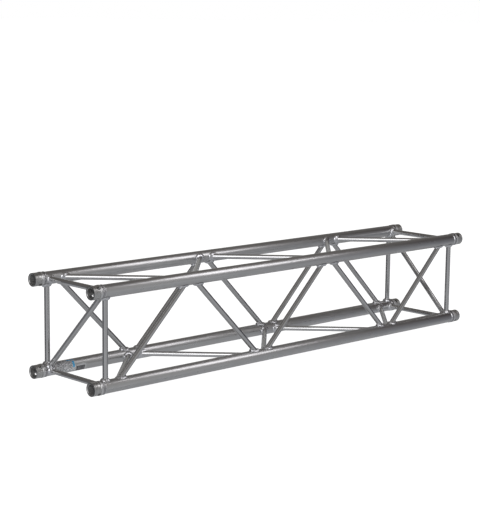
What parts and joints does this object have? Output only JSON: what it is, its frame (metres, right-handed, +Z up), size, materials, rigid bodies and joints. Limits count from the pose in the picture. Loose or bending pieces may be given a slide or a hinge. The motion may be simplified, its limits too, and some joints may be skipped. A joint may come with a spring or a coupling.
{
  "type": "lighting truss section",
  "caption": "Square lighting truss section of welded aluminium tube, with conical coupler receivers at the chord ends, zigzag bracing on every face and a braced frame at each end.",
  "frame": {"origin": "under the middle of the truss, level with the lowest point of the collars it lies on", "axes": "+X along the truss to its right end, +Y to the back, +Z up"},
  "size_m": [2, 0.3914, 0.3914],
  "materials": {
    "extruded_aluminium": "mill-finish extruded tube, satin, with fine lengthwise drawing marks",
    "brace_aluminium": "mill-finish drawn tube, satin",
    "turned_aluminium": "turned on a lathe, fine rings round the axis, darker than the tube",
    "weld_aluminium": "as welded, bright, rippled beads",
    "foil_label": "silver foil label with plain grey and blue blocks, no lettering",
    "stock_tag": "plain pale tag with one dark bar, no lettering"
  },
  "bodies": {
    "root": {"chord_front_top": "extruded_aluminium", "chord_back_top": "extruded_aluminium", "chord_front_bottom": "extruded_aluminium", "chord_back_bottom": "extruded_aluminium", "receiver_front_top_left": "turned_aluminium", "receiver_front_top_right": "turned_aluminium", "receiver_back_top_left": "turned_aluminium", "receiver_back_top_right": "turned_aluminium", "receiver_front_bottom_left": "turned_aluminium", "receiver_front_bottom_right": "turned_aluminium", "receiver_back_bottom_left": "turned_aluminium", "receiver_back_bottom_right": "turned_aluminium", "seam_weld_front_top_left": "weld_aluminium", "seam_weld_front_top_right": "weld_aluminium", "seam_weld_back_top_left": "weld_aluminium", "seam_weld_back_top_right": "weld_aluminium", "seam_weld_front_bottom_left": "weld_aluminium", "seam_weld_front_bottom_right": "weld_aluminium", "seam_weld_back_bottom_left": "weld_aluminium", "seam_weld_back_bottom_right": "weld_aluminium", "diagonal_front_1": "brace_aluminium", "diagonal_front_2": "brace_aluminium", "diagonal_front_3": "brace_aluminium", "diagonal_front_4": "brace_aluminium", "diagonal_front_5": "brace_aluminium", "diagonal_back_1": "brace_aluminium", "diagonal_back_2": "brace_aluminium", "diagonal_back_3": "brace_aluminium", "diagonal_back_4": "brace_aluminium", "diagonal_back_5": "brace_aluminium", "diagonal_top_1": "brace_aluminium", "diagonal_top_2": "brace_aluminium", "diagonal_top_3": "brace_aluminium", "diagonal_top_4": "brace_aluminium", "diagonal_top_5": "brace_aluminium", "diagonal_bottom_1": "brace_aluminium", "diagonal_bottom_2": "brace_aluminium", "diagonal_bottom_3": "brace_aluminium", "diagonal_bottom_4": "brace_aluminium", "diagonal_bottom_5": "brace_aluminium", "post_front_left": "brace_aluminium", "post_back_left": "brace_aluminium", "cross_tube_top_left": "brace_aluminium", "cross_tube_bottom_left": "brace_aluminium", "post_front_right": "brace_aluminium", "post_back_right": "brace_aluminium", "cross_tube_top_right": "brace_aluminium", "cross_tube_bottom_right": "brace_aluminium", "end_diagonal_left": "brace_aluminium", "end_diagonal_right": "brace_aluminium", "foil_label": "foil_label", "stock_tag": "stock_tag"}
  },
  "joints": []
}
